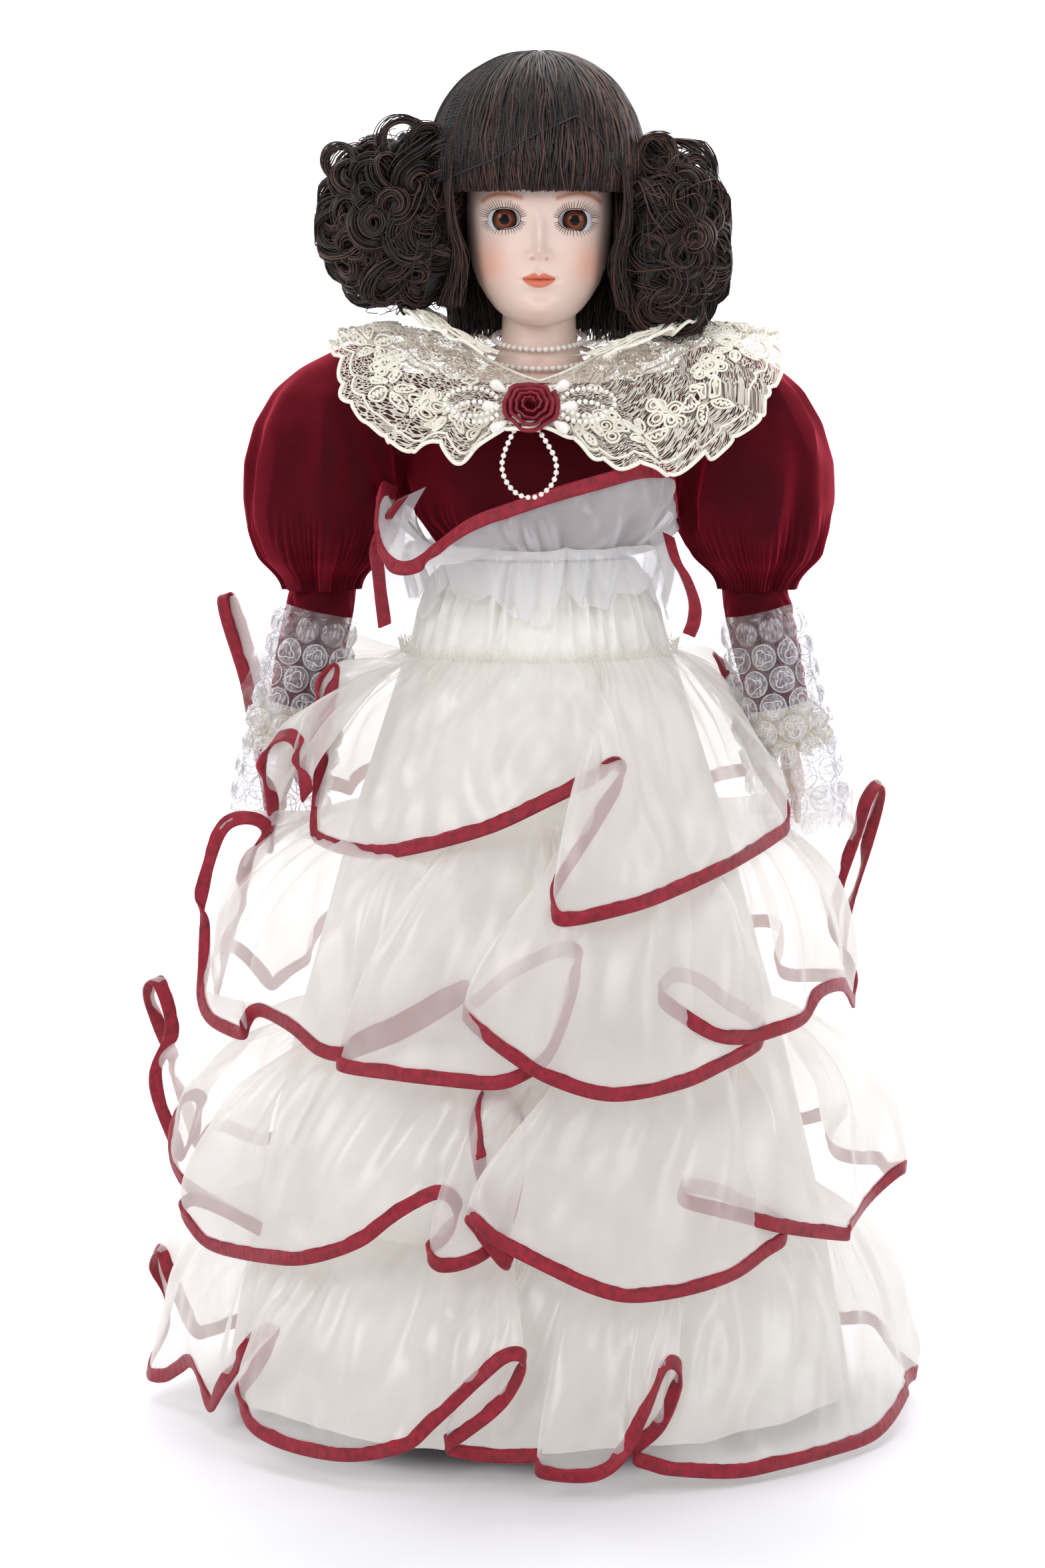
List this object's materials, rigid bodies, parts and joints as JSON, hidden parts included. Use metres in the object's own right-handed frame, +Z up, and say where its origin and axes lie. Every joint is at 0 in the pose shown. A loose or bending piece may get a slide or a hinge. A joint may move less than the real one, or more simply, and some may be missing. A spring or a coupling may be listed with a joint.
{
  "type": "porcelain doll",
  "caption": "Collectible porcelain doll in a tiered organza and velvet dress, on a round display stand with an adjustable waist clip.",
  "frame": {"origin": "on the surface the stand rests on, at the centre of the stand base", "axes": "+Z up, the doll faces -Y, +X is the doll's own left"},
  "size_m": [0.336, 0.2896, 0.5799],
  "materials": {
    "felt": "matte felt",
    "stand_metal": "white enamel",
    "stuffed_cloth": "plain weave",
    "bisque": "matte bisque",
    "eye_glass": "polished",
    "plaster": "matte",
    "pate_foam": "foam",
    "wig_netting": "fine net",
    "hair": "satin fibre",
    "pearl": "pearlescent",
    "velvet": "velvet pile",
    "snap_metal": "plated",
    "lace": "embroidered net",
    "ribbon": "satin ribbon",
    "organza": "sheer crisp weave",
    "satin": "satin",
    "cotton": "plain weave",
    "shoe_leather": "smooth",
    "bubble_film": "clear film"
  },
  "bodies": {
    "stand": {"base_felt": "felt", "stand_base": "stand_metal", "stand_tube": "stand_metal", "tube_collar": "stand_metal"},
    "clamp_knob": {"thumb_screw": "stand_metal"},
    "rod": {"stand_rod": "stand_metal"},
    "doll": {"waist_clip": "stand_metal", "torso": "stuffed_cloth", "shoulder_head": "bisque", "eye_plaster": "plaster", "crown_pate": "pate_foam", "wig_cap": "wig_netting", "wig_crown": "hair", "wig_fringe": "hair", "wig_back": "hair", "hair_net": "wig_netting", "necklace": "pearl", "bodice": "velvet", "back_snaps": "snap_metal", "lace_collar": "lace", "brooch_rose": "ribbon", "brooch_pearls": "pearl", "bead_loops": "pearl", "bust_flounce": "organza", "bust_ribbon": "ribbon", "underskirt": "satin", "petticoat": "cotton", "flounce_1": "organza", "flounce_2": "organza", "flounce_3": "organza", "flounce_4": "organza", "ribbon_1": "ribbon", "ribbon_2": "ribbon", "ribbon_3": "ribbon", "ribbon_4": "ribbon", "pantaloon_seat": "cotton", "eye_left": "eye_glass", "eye_right": "eye_glass", "wig_curls_left": "hair", "wig_curls_right": "hair"},
    "arm_left": {"upper_arm_left": "stuffed_cloth", "sleeve_puff_left": "velvet"},
    "hand_left": {"forearm_left": "bisque", "lower_sleeve_left": "velvet", "lace_cuff_left": "lace", "bubble_wrap_left": "bubble_film"},
    "leg_left": {"thigh_left": "stuffed_cloth", "lower_leg_left": "bisque", "pantaloon_left": "cotton", "shoe_left": "shoe_leather"},
    "arm_right": {"upper_arm_right": "stuffed_cloth", "sleeve_puff_right": "velvet"},
    "hand_right": {"forearm_right": "bisque", "lower_sleeve_right": "velvet", "lace_cuff_right": "lace", "bubble_wrap_right": "bubble_film"},
    "leg_right": {"thigh_right": "stuffed_cloth", "lower_leg_right": "bisque", "pantaloon_right": "cotton", "shoe_right": "shoe_leather"}
  },
  "joints": [
    {"name": "height_slide", "type": "slide", "parent": "stand", "child": "rod", "axis": [0, 0, 1], "range_m": [0, 0.05]},
    {"name": "doll_turn", "type": "hinge", "parent": "rod", "child": "doll", "pos_m": [0, 0.03, 0.343], "axis": [0, 0, 1], "range_deg": [-45, 45]},
    {"name": "clamp_screw", "type": "hinge", "parent": "stand", "child": "clamp_knob", "pos_m": [0, 0.036, 0.178], "axis": [0, 1, 0], "range_deg": [0, 360]},
    {"name": "shoulder_left", "type": "hinge", "parent": "doll", "child": "arm_left", "pos_m": [0.062, 0, 0.43], "axis": [-1, 0, 0], "range_deg": [-20, 50]},
    {"name": "elbow_left", "type": "hinge", "parent": "arm_left", "child": "hand_left", "pos_m": [0.092, 0, 0.352], "axis": [-1, 0, 0], "range_deg": [0, 50]},
    {"name": "hip_left", "type": "hinge", "parent": "doll", "child": "leg_left", "pos_m": [0.021, 0, 0.304], "axis": [-1, 0, 0], "range_deg": [-6, 12]},
    {"name": "shoulder_right", "type": "hinge", "parent": "doll", "child": "arm_right", "pos_m": [-0.062, 0, 0.43], "axis": [-1, 0, 0], "range_deg": [-20, 50]},
    {"name": "elbow_right", "type": "hinge", "parent": "arm_right", "child": "hand_right", "pos_m": [-0.092, 0, 0.352], "axis": [-1, 0, 0], "range_deg": [0, 50]},
    {"name": "hip_right", "type": "hinge", "parent": "doll", "child": "leg_right", "pos_m": [-0.021, 0, 0.304], "axis": [-1, 0, 0], "range_deg": [-6, 12]}
  ]
}
